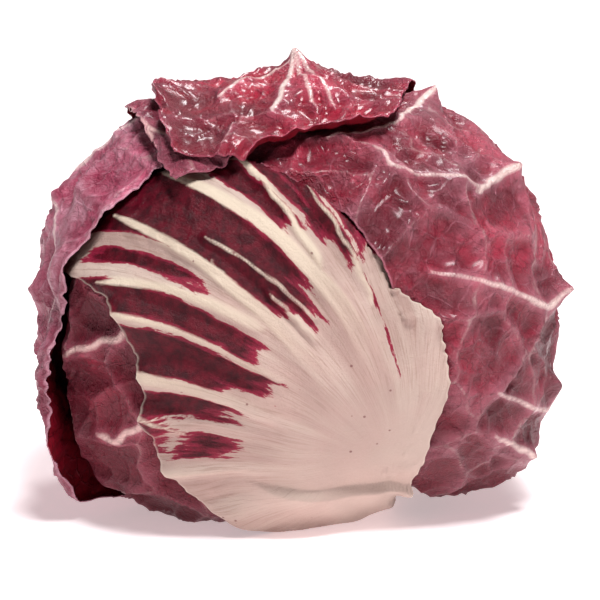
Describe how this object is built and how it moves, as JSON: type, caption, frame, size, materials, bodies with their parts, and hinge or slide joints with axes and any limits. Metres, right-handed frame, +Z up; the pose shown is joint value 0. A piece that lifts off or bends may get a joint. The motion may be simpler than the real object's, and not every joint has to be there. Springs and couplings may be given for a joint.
{
  "type": "radicchio head",
  "caption": "Round head of red chicory lying on its side, burgundy leaves wrapped over one cream, red-streaked leaf and a trimmed stem.",
  "frame": {"origin": "bottom centre of the bounding box, on the surface that the head rests on", "axes": "+Z up, +X to the right of the cream leaf's side, +Y away from it; the head is longest along X"},
  "size_m": [0.1272, 0.1182, 0.1119],
  "materials": {
    "burgundy_leaf": "satin waxy leaf, burgundy with lavender bloom and pale veins",
    "cream_leaf": "satin leaf, cream fan of veins with dark burgundy streaks between them",
    "heart_leaf": "satin leaf, deep burgundy over a cream midrib",
    "stem_flesh": "matte cut stem, cream with a browned cut face"
  },
  "bodies": {
    "root": {"stem": "stem_flesh", "heart_bud": "heart_leaf", "heart_leaf_1": "heart_leaf", "heart_leaf_2": "heart_leaf", "heart_leaf_3": "heart_leaf", "heart_leaf_4": "heart_leaf", "heart_leaf_5": "heart_leaf", "heart_leaf_6": "heart_leaf", "heart_leaf_7": "heart_leaf", "heart_leaf_8": "heart_leaf", "under_leaf": "cream_leaf", "lower_left_leaf": "burgundy_leaf", "right_leaf": "burgundy_leaf", "front_leaf": "cream_leaf", "left_leaf": "burgundy_leaf", "crown_leaf": "burgundy_leaf", "cap_leaf": "burgundy_leaf"}
  },
  "joints": []
}
